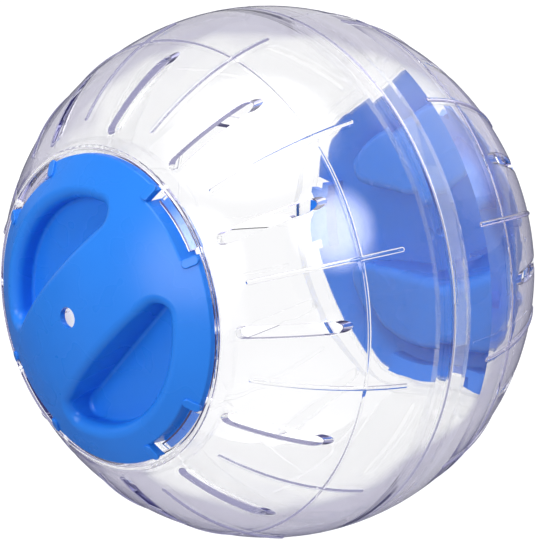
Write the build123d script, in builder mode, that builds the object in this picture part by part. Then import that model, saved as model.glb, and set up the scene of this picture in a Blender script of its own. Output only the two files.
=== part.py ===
"""Hamster ball: two clear half shells that lock at the seam, and a blue lid that turns in each."""
import os
from math import asin, cos, degrees, radians, sin, sqrt

from build123d import *

# Ball: its axis runs along Y through both lids, the front lid looks along -Y, and Z is up.
# Azimuths go round that axis from +Z towards +X, and polar angles start at a lid's pole.
ball_radius = 70.0
shell_wall = 1.8
running_gap = 0.3
cut_overrun = 5.0
match_tolerance = 0.01

# Round lid opening at each pole, with a raised rim and a collar wall under it
opening_radius = 41.3
rim_width = 1.3
rim_height = 0.4
collar_wall = 2.2

# Ledge that carries the lid's edge, and the lugs that hold its tongues down
ledge_wall = 1.5
ledge_width = 1.7
lug_wall = 0.8
lug_reach = 1.7
lug_arc = 24.0
lug_count = 4

# Thin hoop round each half, at a distance from the seam along the surface
hoop_seam_gap = 26.1
hoop_bead_radius = 0.55
hoop_height = 0.3

# Vent slots through the shell along the ball's axis, between the collar and the hoop
vent_count = 12
vent_width = 3.3
vent_collar_gap = 1.7
vent_hoop_gap = 7.7
vent_fillet = 0.2

# Low round ribs between the vents, which run on across the hoop towards the seam
rib_bead_radius = 0.7
rib_height = 0.45
rib_collar_gap = 5.4
rib_seam_gap = 14.4

# Fine raised lines on the rear half, one at each end of a bayonet track
line_width = 0.5
line_height = 0.15
line_length = 31.8
line_seam_gap = 7.3

# Seam: the front half's skirt goes into the rear half's socket
socket_wall = 2.0
skirt_wall = 1.3
skirt_lip = 1.3
skirt_root = 4.0
seam_gap = 0.2
seam_fillet = 0.4

# Bayonet catches on the skirt, in L-shaped tracks of the socket
catch_count = 4
catch_azimuth = 77.7
catch_arc = 8.3
catch_side_arc = 0.5
catch_height = 0.8
catch_length = 3.0
catch_offset = 2.2

# Turn of each pattern about the axis, and where turned surfaces start, clear of all features
front_vent_azimuth = -2.5
rear_vent_azimuth = -3.9
front_lid_azimuth = 44.4
rear_lid_azimuth = 90.0
shell_start_azimuth = 65.0
lid_start_azimuth = 20.0

# Lid: a dome that completes the sphere, with a hole at its pole
lid_wall = 1.6
lid_side_gap = 0.9
lid_edge_fillet = 0.5
hole_radius = 2.8

# Windows in the lid's edge, with a riser down to a tongue under each lug
window_gap = 0.9
window_side_arc = 2.5
window_fillet = 0.8
tongue_arc = 23.0
tongue_gap = 0.5
ridge_arc = 1.2
ridge_height = 0.2

# Two finger pockets inside the ring of windows, with a grip bar between them
pocket_margin = 7.5
pocket_side_height = 7.4
pocket_corner_share = 0.18
pocket_rim_fillet = 2.5
pocket_floor_fillet = 1.0
bar_half_width = 12.5

# Low pads at the ends of each window
pad_width = 2.5
pad_inset = 0.2
pad_overhang = 0.5
pad_height = 0.6
pad_fillet = 0.3

# Sizes that follow from those above
reach = ball_radius + cut_overrun
shell_inner_radius = ball_radius - shell_wall
collar_radius = opening_radius + collar_wall
ledge_radius = opening_radius - ledge_width
ledge_top = ball_radius - lid_wall - running_gap
ledge_bottom = ledge_top - ledge_wall
lug_radius = ledge_radius - lug_reach
lug_bottom = ledge_top - lug_wall
hoop_polar = 90 - degrees(hoop_seam_gap / ball_radius)
vent_start_polar = degrees(asin((collar_radius + vent_collar_gap) / ball_radius))
vent_end_polar = hoop_polar - degrees(vent_hoop_gap / ball_radius)
rib_start_polar = degrees(asin((collar_radius + rib_collar_gap) / ball_radius))
rib_end_polar = 90 - degrees(rib_seam_gap / ball_radius)
line_end_polar = 90 - degrees(line_seam_gap / ball_radius)
line_start_polar = line_end_polar - degrees(line_length / ball_radius)
catch_end = catch_offset + catch_length
socket_radius = ball_radius - socket_wall
skirt_radius = socket_radius - running_gap
skirt_inner_radius = skirt_radius - skirt_wall
skirt_length = catch_end + skirt_lip
socket_depth = skirt_length + running_gap
waist_length = sqrt(shell_inner_radius**2 - skirt_inner_radius**2)
track_radius = skirt_radius + catch_height + running_gap
track_step_arc = catch_arc + 2 * catch_side_arc
track_azimuth = catch_azimuth - catch_side_arc
lid_radius = opening_radius - lid_side_gap
window_radius = lug_radius - window_gap
window_arc = lug_arc + 2 * window_side_arc
riser_radius = window_radius - lid_wall
tongue_radius = ledge_radius - running_gap
tongue_top = lug_bottom - tongue_gap
tongue_bottom = tongue_top - lid_wall
pocket_radius = window_radius - pocket_margin
pocket_corner = pocket_corner_share * (pocket_radius - bar_half_width)
pocket_floor = sqrt(ball_radius**2 - pocket_radius**2) - pocket_side_height
pad_start_radius = window_radius - pad_inset
pad_end_radius = lid_radius + pad_overhang
pad_center_arc = window_arc / 2 + degrees(pad_width / (pad_start_radius + pad_end_radius))


def spaced(count, first):
    """Azimuths of a pattern that goes evenly round the axis."""
    return [first + 360 * i / count for i in range(count)]


def meridian_plane(azimuth):
    """Plane through the ball's axis: local x runs out from the axis, local y along it."""
    a = radians(azimuth)
    return Plane(origin=(0, 0, 0), x_dir=(sin(a), 0, cos(a)), z_dir=(-cos(a), 0, sin(a)))


def surface_plane(polar, azimuth):
    """Plane through the ball's centre that faces a place on the front, x along the meridian."""
    p = radians(polar)
    a = radians(azimuth)
    outward = (sin(p) * sin(a), -cos(p), sin(p) * cos(a))
    along = (cos(p) * sin(a), sin(p), cos(p) * cos(a))
    return Plane(origin=(0, 0, 0), x_dir=along, z_dir=outward)


def dome_section(outer, inner, start, end):
    """Section between two spheres and between two distances from the axis, at the front."""
    with BuildSketch(Plane.XY) as section:
        Circle(outer)
        Circle(inner, mode=Mode.SUBTRACT)
        with Locations((start, 0)):
            Rectangle(end - start, reach, align=(Align.MIN, Align.MAX), mode=Mode.INTERSECT)
    return section.sketch


def ball_section(start, near, far):
    """Section of the solid ball outside a distance from the axis, between two places along it."""
    with BuildSketch(Plane.XY) as section:
        Circle(ball_radius)
        with Locations((start, -near)):
            Rectangle(reach, far - near, align=(Align.MIN, Align.MAX), mode=Mode.INTERSECT)
    return section.sketch


def box_section(start, end, near, far):
    """Rectangular section between two distances from the axis and two places along the rear axis."""
    with BuildSketch(Plane.XY) as section:
        with Locations((start, near)):
            Rectangle(end - start, far - near, align=(Align.MIN, Align.MIN))
    return section.sketch


def arcs(section, azimuths, arc):
    """A section turned about the ball's axis through an arc from each azimuth."""
    with BuildPart() as turned:
        for azimuth in azimuths:
            with BuildSketch(meridian_plane(azimuth)):
                add(section)
            revolve(axis=Axis.Y, revolution_arc=arc)
    return turned.part


def meridian_bars(width, start_polar, end_polar, azimuths):
    """Round-ended bars that stand out through the front's surface, each along a meridian."""
    half_span = radians(end_polar - start_polar) / 2
    foot = shell_inner_radius * cos(half_span) - cut_overrun
    with BuildPart() as bars:
        for azimuth in azimuths:
            with BuildSketch(surface_plane((start_polar + end_polar) / 2, azimuth).offset(foot)):
                SlotOverall(2 * ball_radius * sin(half_span), width)
            extrude(amount=reach - foot)
    return bars.part


def axial_bars(width, start_polar, end_polar, azimuths):
    """Round-ended bars along the ball's axis that come out at the front, each along a meridian."""
    start = ball_radius * sin(radians(start_polar))
    end = ball_radius * sin(radians(end_polar))
    with BuildPart() as bars:
        for azimuth in azimuths:
            a = radians(azimuth)
            with BuildSketch(Plane(origin=(0, 0, 0), x_dir=(sin(a), 0, cos(a)), z_dir=(0, -1, 0))):
                with Locations(((start + end) / 2, 0)):
                    SlotOverall(end - start, width)
            extrude(amount=reach)
    return bars.part


def meridian_beads(radius, height, start_polar, end_polar, azimuths):
    """Round beads with ball ends that stand a height over the front's surface, each along a meridian."""
    distance = ball_radius + height - radius
    with BuildPart() as beads:
        for azimuth in azimuths:
            start = surface_plane(start_polar, azimuth)
            end = surface_plane(end_polar, azimuth)
            with BuildSketch(Plane(origin=start.z_dir * distance, x_dir=start.z_dir, z_dir=start.x_dir)):
                Circle(radius)
            turn_axis = Axis((0, 0, 0), start.z_dir.cross(start.x_dir))
            revolve(axis=turn_axis, revolution_arc=end_polar - start_polar)
            with Locations(start.z_dir * distance, end.z_dir * distance):
                Sphere(radius)
    return beads.part


def on_surface(bars, height, depth):
    """What lies of some bars between a depth under the ball's surface and a height over it."""
    with BuildPart() as layer:
        Sphere(ball_radius + height)
        Sphere(ball_radius - depth, mode=Mode.SUBTRACT)
        add(bars, mode=Mode.INTERSECT)
    return layer.part


def three_points(edge):
    """Start, middle and end of an edge."""
    return [edge @ t for t in (0, 0.5, 1)]


def from_axis(point):
    """Distance of a point from the ball's axis."""
    return sqrt(point.X**2 + point.Z**2)


def is_on_sphere(edge, radius):
    """True for an edge that lies on a sphere about the ball's centre."""
    return all(abs(p.length - radius) < match_tolerance for p in three_points(edge))


def is_at_height(edge, along):
    """True for an edge that lies in the plane across the axis at a place along it."""
    return all(abs(p.Y - along) < match_tolerance for p in three_points(edge))


def is_round_axis(edge, radius):
    """True for an edge that keeps one distance from the axis."""
    return all(abs(from_axis(p) - radius) < match_tolerance for p in three_points(edge))


def is_vent_edge(edge):
    """True for an edge of a vent on the ball's surface."""
    near = ball_radius * sin(radians(vent_start_polar)) - match_tolerance
    far = ball_radius * sin(radians(vent_end_polar)) + match_tolerance
    return is_on_sphere(edge, ball_radius) and all(near < from_axis(p) < far for p in three_points(edge))


def is_pocket_rim(edge):
    """True for an edge of a finger pocket on the ball's surface."""
    near = hole_radius + match_tolerance
    far = pocket_radius + match_tolerance
    return is_on_sphere(edge, ball_radius) and all(near < from_axis(p) < far for p in three_points(edge))


def half_shell(seam_sections, edge, vent_azimuth, lid_azimuth):
    """Front half of the ball's wall with its collar, ledge, lugs, hoop, ribs and vents."""
    hoop_distance = ball_radius + hoop_height - hoop_bead_radius
    hoop_angle = radians(hoop_polar)
    rim_distance = ball_radius + rim_height - rim_width / 2
    rim_radius = opening_radius + rim_width / 2
    vents = axial_bars(vent_width, vent_start_polar, vent_end_polar, spaced(vent_count, vent_azimuth))
    rib_azimuths = spaced(vent_count, vent_azimuth + 180 / vent_count)
    ribs = meridian_beads(rib_bead_radius, rib_height, rib_start_polar, rib_end_polar, rib_azimuths)
    lug_section = dome_section(ledge_top, lug_bottom, lug_radius, collar_radius)
    lugs = arcs(lug_section, spaced(lug_count, lid_azimuth - lug_arc / 2), lug_arc)
    with BuildPart() as half:
        with BuildSketch(meridian_plane(shell_start_azimuth)) as profile:
            add(dome_section(ball_radius, shell_inner_radius, opening_radius, reach))
            with Locations((0, -edge)):
                Rectangle(reach, reach, align=(Align.MIN, Align.MAX), mode=Mode.INTERSECT)
            add(dome_section(ball_radius, ledge_bottom, opening_radius, collar_radius))
            add(dome_section(ledge_top, ledge_bottom, ledge_radius, collar_radius))
            with Locations((hoop_distance * sin(hoop_angle), -hoop_distance * cos(hoop_angle))):
                Circle(hoop_bead_radius)
            with Locations((rim_radius, -sqrt(rim_distance**2 - rim_radius**2))):
                Circle(rim_width / 2)
            for seam_section in seam_sections:
                add(seam_section)
            fillet(profile.vertices().sort_by(Axis.X)[-1], seam_fillet)
        revolve(axis=Axis.Y)
        add(lugs)
        add(vents, mode=Mode.SUBTRACT)
        fillet(half.edges().filter_by(is_vent_edge), vent_fillet)
        add(ribs)
    return half.part


def pocket_outline(margin):
    """Outline of the two finger pockets across the axis, widened by a margin."""
    with BuildSketch(Plane.XY) as outline:
        Circle(pocket_radius + margin)
        Rectangle(2 * reach, 2 * (bar_half_width - margin), mode=Mode.SUBTRACT)
        fillet(outline.vertices(), pocket_corner + margin)
    return outline.sketch


def pocket_plane(distance):
    """Plane across the axis at the front, with local x along the grip bar."""
    return Plane(origin=(0, -distance, 0), x_dir=(0, 0, 1), z_dir=(0, -1, 0))


# Front half: the wall is thick at the skirt's root, and the catches stand on the skirt
skirt_section = box_section(skirt_inner_radius, skirt_radius, 0, skirt_length)
with BuildPart() as front_half:
    front_seam = [ball_section(skirt_inner_radius, 0, skirt_root), skirt_section]
    add(half_shell(front_seam, 0, front_vent_azimuth, front_lid_azimuth))
    catch_section = box_section(skirt_inner_radius, skirt_radius + catch_height, catch_offset, catch_end)
    add(arcs(catch_section, spaced(catch_count, catch_azimuth), catch_arc))

# Rear half: a mirrored shell with the socket, a straight waist behind it and the bayonet tracks
with BuildPart() as rear_half:
    socket_section = ball_section(socket_radius, seam_gap, socket_depth)
    waist_section = ball_section(skirt_inner_radius, socket_depth, waist_length + shell_wall / 2)
    rear_seam = [socket_section, waist_section]
    mirror(half_shell(rear_seam, seam_gap, rear_vent_azimuth, rear_lid_azimuth), about=Plane.XZ)
    line_azimuths = spaced(catch_count, track_azimuth)
    line_azimuths += spaced(catch_count, track_azimuth + 2 * track_step_arc)
    lines = meridian_bars(line_width, line_start_polar, line_end_polar, line_azimuths)
    mirror(on_surface(lines, line_height, shell_wall / 2), about=Plane.XZ)
    track = box_section(skirt_radius, track_radius, catch_offset - running_gap, catch_end + running_gap)
    add(arcs(track, spaced(catch_count, track_azimuth), 2 * track_step_arc), mode=Mode.SUBTRACT)
    entry = box_section(skirt_radius, track_radius, 0, catch_end + running_gap)
    entry_azimuths = spaced(catch_count, track_azimuth + track_step_arc)
    add(arcs(entry, entry_azimuths, track_step_arc), mode=Mode.SUBTRACT)

# Pocket tubs under the dome, closed by the pocket floors
with BuildPart() as tubs:
    with BuildSketch(pocket_plane(pocket_floor - lid_wall)):
        add(pocket_outline(lid_wall))
    extrude(amount=reach)
    fillet(tubs.edges().group_by(Axis.Y)[-1], pocket_floor_fillet + lid_wall)
    Sphere(ball_radius - lid_wall / 2, mode=Mode.INTERSECT)

# Pads of the lid, with round top edges
with BuildPart() as pads:
    pad_azimuths = spaced(lug_count, pad_center_arc) + spaced(lug_count, -pad_center_arc)
    pad_start_polar = degrees(asin(pad_start_radius / ball_radius))
    pad_end_polar = degrees(asin(pad_end_radius / ball_radius))
    pad_bars = meridian_bars(pad_width, pad_start_polar, pad_end_polar, pad_azimuths)
    add(on_surface(pad_bars, pad_height, lid_wall))
    fillet(pads.edges().filter_by(lambda e: is_on_sphere(e, ball_radius + pad_height)), pad_fillet)

# Lid with its grip bar along Z: the dome with its pockets, then its windows, risers, tongues and pads
with BuildPart() as lid:
    with BuildSketch(meridian_plane(lid_start_azimuth)):
        add(dome_section(ball_radius, ball_radius - lid_wall, hole_radius, lid_radius))
    revolve(axis=Axis.Y)
    add(tubs.part)
    with BuildSketch(pocket_plane(pocket_floor)):
        add(pocket_outline(0))
    extrude(amount=reach, mode=Mode.SUBTRACT)
    fillet(lid.edges().filter_by(is_pocket_rim), pocket_rim_fillet)
    fillet(lid.edges().filter_by(lambda e: is_at_height(e, -pocket_floor)), pocket_floor_fillet)
    window_section = dome_section(reach, tongue_bottom, window_radius, reach)
    add(arcs(window_section, spaced(lug_count, -window_arc / 2), window_arc), mode=Mode.SUBTRACT)
    riser_section = dome_section(ball_radius, tongue_bottom, riser_radius, window_radius)
    add(arcs(riser_section, spaced(lug_count, -window_arc / 2), window_arc))
    tongue_section = dome_section(tongue_top, tongue_bottom, riser_radius, tongue_radius)
    add(arcs(tongue_section, spaced(lug_count, -tongue_arc / 2), tongue_arc))
    ridge_section = dome_section(tongue_top + ridge_height, tongue_bottom, window_radius, tongue_radius)
    add(arcs(ridge_section, spaced(lug_count, -ridge_arc / 2), ridge_arc))
    ball_edges = lid.edges().filter_by(lambda e: is_on_sphere(e, ball_radius))
    fillet(ball_edges.filter_by(lambda e: is_round_axis(e, window_radius)), window_fillet)
    ball_edges = lid.edges().filter_by(lambda e: is_on_sphere(e, ball_radius))
    fillet(ball_edges.filter_by(lambda e: is_round_axis(e, lid_radius)), lid_edge_fillet)
    add(pads.part)

with BuildPart() as front_lid:
    add(lid.part.rotate(Axis.Y, front_lid_azimuth))

with BuildPart() as rear_lid:
    add(lid.part.rotate(Axis.Z, 180).rotate(Axis.Y, rear_lid_azimuth))

os.makedirs("parts", exist_ok=True)
front_half.part.label = "front_half"
rear_half.part.label = "rear_half"
front_lid.part.label = "front_lid"
rear_lid.part.label = "rear_lid"
export_step(front_half.part, "parts/front_half.step")
export_step(rear_half.part, "parts/rear_half.step")
export_step(front_lid.part, "parts/front_lid.step")
export_step(rear_lid.part, "parts/rear_lid.step")
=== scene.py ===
"""Hamster ball: clear polystyrene half shells and blue moulded lids in a white studio."""

from math import cos, radians, sin

import bpy
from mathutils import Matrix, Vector


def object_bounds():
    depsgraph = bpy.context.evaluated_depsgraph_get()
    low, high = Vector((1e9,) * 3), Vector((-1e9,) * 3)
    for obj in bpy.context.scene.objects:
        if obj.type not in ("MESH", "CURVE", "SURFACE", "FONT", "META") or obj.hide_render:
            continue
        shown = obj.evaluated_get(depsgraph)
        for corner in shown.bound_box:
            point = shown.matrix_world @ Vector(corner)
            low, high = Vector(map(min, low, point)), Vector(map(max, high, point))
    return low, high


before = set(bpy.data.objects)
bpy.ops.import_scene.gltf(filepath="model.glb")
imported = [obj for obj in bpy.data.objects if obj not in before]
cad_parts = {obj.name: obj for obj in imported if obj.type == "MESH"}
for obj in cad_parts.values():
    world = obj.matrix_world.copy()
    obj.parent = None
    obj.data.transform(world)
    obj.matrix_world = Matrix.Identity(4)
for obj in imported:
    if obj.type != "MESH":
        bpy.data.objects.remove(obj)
cad_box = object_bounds()

# Floor, in metres
floor_level = cad_box[0][2]
floor_side = 12.0

# Camera: direction and distance from the ball's centre, lens and sensor in millimetres, and the shift
# of the framing
camera_azimuth = 47.2
camera_elevation = 14.4
camera_distance = 1.54
camera_lens = 390.0
camera_sensor = 36.0
camera_shift_x = 0.00315
camera_shift_y = 0.00306
camera_reach = 50.0

# Studio walls: their level for matt surfaces, in gloss, and as the camera and clear plastic see them
studio_light = 0.05
studio_gloss = 0.62
studio_white = 1.0

# Soft patches of light on the studio's walls, each with azimuth, elevation, the angles of its core
# and edge from its centre, and its strength in gloss and on matt surfaces
softboxes = [
    (80.0, 30.5, 2.0, 21.0, 8.2, 1.6),
    (20.0, 76.0, 10.0, 36.0, 4.2, 4.2),
    (11.0, 14.0, 5.0, 28.0, 5.6, 5.6),
    (168.0, 32.0, 8.0, 30.0, 1.2, 4.6),
]

# Patterns are sized in millimetres. Nearly all values of a noise lie between the low and high one.
MM = 0.001
noise_low = 0.25
noise_high = 0.75

# A ray counts the clear faces that it has passed and the times that it was thrown back. Each of these
# lies just below a count of one, two or three.
count_one = 0.5
count_two = 1.5
count_three = 2.5


def linear(hex_colour):
    """Linear RGBA of an sRGB hex colour."""
    shares = [int(hex_colour[i:i + 2], 16) / 255 for i in (1, 3, 5)]
    return [s / 12.92 if s <= 0.04045 else ((s + 0.055) / 1.055) ** 2.4 for s in shares] + [1.0]


def add_node(tree, kind, inputs=None, **settings):
    """Adds a node with its settings. An input takes a value, an output, or a node's first output in use."""
    node = tree.nodes.new(kind)
    for name, value in settings.items():
        setattr(node, name, value)
    for name, value in (inputs or {}).items():
        if isinstance(value, bpy.types.Node):
            value = next(output for output in value.outputs if output.enabled)
        if isinstance(value, bpy.types.NodeSocket):
            tree.links.new(value, node.inputs[name])
        else:
            node.inputs[name].default_value = value
    return node


def new_finish(name):
    """An empty material, its node tree and the place on the object in it."""
    material = bpy.data.materials.new(name)
    material.use_nodes = True
    tree = material.node_tree
    tree.nodes.clear()
    place = add_node(tree, "ShaderNodeTexCoord").outputs["Object"]
    return material, tree, place


def seen_through_plastic(tree, path):
    """1 for rays that were bent by clear plastic or thrown on inside it, and 0 for others."""
    entered = add_node(
        tree, "ShaderNodeMath", {0: path["Transmission Depth"], 1: count_one}, operation="GREATER_THAN")
    thrown_on = add_node(
        tree, "ShaderNodeMath", {0: entered, 1: path["Is Glossy Ray"]}, operation="MULTIPLY")
    return add_node(
        tree, "ShaderNodeMath", {0: path["Is Transmission Ray"], 1: thrown_on}, operation="MAXIMUM")


def direction(azimuth, elevation):
    """Unit vector from the ball's centre, with azimuth 0 in front of the front lid."""
    turn = radians(azimuth)
    rise = radians(elevation)
    return Vector((sin(turn) * cos(rise), -cos(turn) * cos(rise), sin(rise)))


white = linear("#FFFFFF")

# Clear polystyrene, injection moulded in polished steel: it passes nearly all light and has a sharp
# gloss with a slow ripple. Where the wall is seen edge on it looks grey-lilac, in uneven patches
# left by the flow into the mould.
clear_roughness = 0.015
clear_ior = 1.54
ripple_size = 9.0
ripple_depth = 0.4
ripple_strength = 0.06
flow_size = 26.0
flow_seed = 8.5
flow_reach = 0.17
clear_detail = 1.0
tint_start = 0.43
tint_full = 0.6
smoke_per_metre = 16.0
clear_polystyrene, tree, place = new_finish("clear_moulded_polystyrene")
ripple = add_node(
    tree, "ShaderNodeTexNoise",
    {"Vector": place, "Scale": 1 / (ripple_size * MM), "Detail": clear_detail},
    noise_dimensions="4D")
ripple_bump = add_node(
    tree, "ShaderNodeBump",
    {"Height": ripple, "Strength": ripple_strength, "Distance": ripple_depth * MM})
flow = add_node(
    tree, "ShaderNodeTexNoise",
    {"Vector": place, "W": flow_seed, "Scale": 1 / (flow_size * MM), "Detail": clear_detail},
    noise_dimensions="4D")
uneven = add_node(
    tree, "ShaderNodeMapRange",
    {"Value": flow, "From Min": noise_low, "From Max": noise_high,
     "To Min": -flow_reach, "To Max": flow_reach})
edge_on = add_node(tree, "ShaderNodeLayerWeight").outputs["Facing"]
slope = add_node(tree, "ShaderNodeMath", {0: edge_on, 1: uneven}, operation="ADD")
tint_share = add_node(
    tree, "ShaderNodeMapRange", {"Value": slope, "From Min": tint_start, "From Max": tint_full},
    interpolation_type="SMOOTHSTEP")
clear_tint = add_node(
    tree, "ShaderNodeMix", {"Factor": tint_share, "A": white, "B": linear("#B4B0C8")},
    data_type="RGBA")
clear = add_node(
    tree, "ShaderNodeBsdfPrincipled",
    {"Base Color": clear_tint, "Roughness": clear_roughness, "IOR": clear_ior,
     "Transmission Weight": 1.0, "Normal": ripple_bump})

# Light for the lids and the floor goes straight through. So does most of what is seen of the far
# wall behind the near one, and light that is caught between the faces of a wall, which shows the
# edges of the vents and ribs in lilac.
far_wall_clearness = 0.85
path = add_node(tree, "ShaderNodeLightPath").outputs
far_wall = add_node(
    tree, "ShaderNodeMath", {0: path["Transmission Depth"], 1: count_two}, operation="GREATER_THAN")
caught = add_node(
    tree, "ShaderNodeMath", {0: path["Glossy Depth"], 1: count_three}, operation="GREATER_THAN")
washed_out = add_node(
    tree, "ShaderNodeMath", {0: far_wall, 1: far_wall_clearness}, operation="MULTIPLY")
light_or_caught = add_node(
    tree, "ShaderNodeMath", {0: path["Is Shadow Ray"], 1: caught}, operation="MAXIMUM")
straight_on = add_node(
    tree, "ShaderNodeMath", {0: light_or_caught, 1: washed_out}, operation="MAXIMUM")
caught_tint = add_node(
    tree, "ShaderNodeMix", {"Factor": caught, "A": white, "B": linear("#A6A4C4")}, data_type="RGBA")
straight_tint = add_node(
    tree, "ShaderNodeMix", {"Factor": path["Is Shadow Ray"], "A": caught_tint, "B": linear("#E2E2EB")},
    data_type="RGBA")
straight = add_node(tree, "ShaderNodeBsdfTransparent", {"Color": straight_tint})
clear_wall = add_node(tree, "ShaderNodeMixShader", {"Fac": straight_on, 1: clear, 2: straight})
smoke = add_node(
    tree, "ShaderNodeVolumeAbsorption", {"Color": linear("#D8D8E8"), "Density": smoke_per_metre})
add_node(tree, "ShaderNodeOutputMaterial", {"Surface": clear_wall, "Volume": smoke})

# Blue polypropylene, injection moulded: a strong blue, a little cloudy, with a soft gloss that a
# fine skin breaks up. The skin is drawn coarser than it is, so that it shows.
lid_roughness_low = 0.24
lid_roughness_high = 0.31
lid_ior = 1.49
lid_specular = 0.28
cloud_size = 14.0
skin_size = 1.2
skin_depth = 0.1
skin_strength = 0.05
lid_detail = 2.0
blue_polypropylene, tree, place = new_finish("blue_moulded_polypropylene")
cloud = add_node(
    tree, "ShaderNodeTexNoise",
    {"Vector": place, "Scale": 1 / (cloud_size * MM), "Detail": lid_detail},
    noise_dimensions="4D")
blue = add_node(
    tree, "ShaderNodeMix", {"Factor": cloud, "A": linear("#2076DB"), "B": linear("#277EE4")},
    data_type="RGBA")
roughness = add_node(
    tree, "ShaderNodeMapRange",
    {"Value": cloud, "To Min": lid_roughness_low, "To Max": lid_roughness_high})
skin = add_node(
    tree, "ShaderNodeTexNoise",
    {"Vector": place, "Scale": 1 / (skin_size * MM), "Detail": lid_detail},
    noise_dimensions="4D")
skin_bump = add_node(
    tree, "ShaderNodeBump", {"Height": skin, "Strength": skin_strength, "Distance": skin_depth * MM})
lid_plastic = add_node(
    tree, "ShaderNodeBsdfPrincipled",
    {"Base Color": blue, "Roughness": roughness, "IOR": lid_ior, "Specular IOR Level": lid_specular,
     "Normal": skin_bump})
add_node(tree, "ShaderNodeOutputMaterial", {"Surface": lid_plastic})

# The nodes take their finishes
finishes = {
    "front_half": clear_polystyrene,
    "rear_half": clear_polystyrene,
    "front_lid": blue_polypropylene,
    "rear_lid": blue_polypropylene,
}
for name, finish in finishes.items():
    for material_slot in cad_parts[name].material_slots:
        material_slot.material = finish

# Floor: matt white board, which shows white with the ball's shadow, also through clear plastic.
# Seen in gloss it is painted: a painted pool of light in front of the ball, painted shade elsewhere.
glow_strength = 1.55
glow_share = 0.6
painted_light_azimuth = 40.0
painted_light_start = 0.0
painted_light_full = 90.0
painted_light_share = 0.5
bpy.ops.object.select_all(action="DESELECT")
bpy.ops.mesh.primitive_plane_add(size=floor_side, location=(0, 0, floor_level))
floor = bpy.context.object
floor.name = "floor"
white_board, tree, place = new_finish("matt_white_board")
path = add_node(tree, "ShaderNodeLightPath").outputs
# Painted light: in gloss the board glows in a patch in front of the ball, whose reflection puts glints on
# the lids' rims
ahead = add_node(
    tree, "ShaderNodeVectorMath", {0: place, 1: direction(painted_light_azimuth, 0)}, operation="DOT_PRODUCT")
painted_gloss_light = add_node(
    tree, "ShaderNodeMapRange",
    {"Value": ahead, "From Min": painted_light_start * MM, "From Max": painted_light_full * MM,
     "To Max": painted_light_share}, interpolation_type="SMOOTHSTEP")
painted_light_in_gloss = add_node(
    tree, "ShaderNodeMath", {0: path["Is Glossy Ray"], 1: painted_gloss_light}, operation="MULTIPLY")
seen_by_plastic_or_painted_light = add_node(
    tree, "ShaderNodeMath", {0: seen_through_plastic(tree, path), 1: painted_light_in_gloss},
    operation="MAXIMUM")
seen = add_node(
    tree, "ShaderNodeMath", {0: path["Is Camera Ray"], 1: seen_by_plastic_or_painted_light}, operation="MAXIMUM")
glow_part = add_node(tree, "ShaderNodeMath", {0: seen, 1: glow_share}, operation="MULTIPLY")
# Matt rays see the board's own colour; gloss sees a darker copy of it, which is painted shade
board_and_painted_gloss_shade = add_node(
    tree, "ShaderNodeMix",
    {"Factor": path["Is Glossy Ray"], "A": linear("#A6A7AC"), "B": linear("#5C5D64")},
    data_type="RGBA")
board = add_node(tree, "ShaderNodeBsdfDiffuse", {"Color": board_and_painted_gloss_shade})
glow = add_node(tree, "ShaderNodeEmission", {"Color": white, "Strength": glow_strength})
lit_board = add_node(tree, "ShaderNodeMixShader", {"Fac": glow_part, 1: board, 2: glow})
add_node(tree, "ShaderNodeOutputMaterial", {"Surface": lit_board})
floor.data.materials.append(white_board)

# White studio round the ball: camera and clear plastic see its walls white, gloss sees them a little
# darker, and the lights are soft round patches of it
world = bpy.data.worlds.new("white_studio")
bpy.context.scene.world = world
world.use_nodes = True
tree = world.node_tree
tree.nodes.clear()
path = add_node(tree, "ShaderNodeLightPath").outputs
way = add_node(tree, "ShaderNodeTexCoord").outputs["Generated"]
plain_wall = add_node(
    tree, "ShaderNodeMapRange",
    {"Value": path["Is Glossy Ray"], "To Min": studio_light, "To Max": studio_gloss})
light = add_node(
    tree, "ShaderNodeMapRange",
    {"Value": seen_through_plastic(tree, path), "To Min": plain_wall, "To Max": studio_white})
for azimuth, elevation, core, edge, gloss_strength, matt_strength in softboxes:
    strength = add_node(
        tree, "ShaderNodeMapRange",
        {"Value": path["Is Glossy Ray"], "To Min": matt_strength, "To Max": gloss_strength})
    nearness = add_node(
        tree, "ShaderNodeVectorMath", {0: way, 1: direction(azimuth, elevation)},
        operation="DOT_PRODUCT")
    patch = add_node(
        tree, "ShaderNodeMapRange",
        {"Value": nearness, "From Min": cos(radians(edge)), "From Max": cos(radians(core)),
         "To Max": strength}, interpolation_type="SMOOTHSTEP")
    light = add_node(tree, "ShaderNodeMath", {0: light, 1: patch}, operation="ADD")
lights = add_node(tree, "ShaderNodeBackground", {"Color": white, "Strength": light})
backdrop = add_node(tree, "ShaderNodeBackground", {"Color": white, "Strength": studio_white})
studio = add_node(
    tree, "ShaderNodeMixShader", {"Fac": path["Is Camera Ray"], 1: lights, 2: backdrop})
add_node(tree, "ShaderNodeOutputWorld", {"Surface": studio})

camera_data = bpy.data.cameras.new("camera")
camera_data.lens = camera_lens
camera_data.sensor_width = camera_sensor
camera_data.shift_x = camera_shift_x
camera_data.shift_y = camera_shift_y
camera_data.clip_end = camera_reach
camera = bpy.data.objects.new("camera", camera_data)
bpy.context.scene.collection.objects.link(camera)
camera.location = direction(camera_azimuth, camera_elevation) * camera_distance
camera.rotation_euler = (-camera.location).to_track_quat("-Z", "Y").to_euler()
bpy.context.scene.camera = camera
bpy.context.scene.view_settings.view_transform = "Standard"
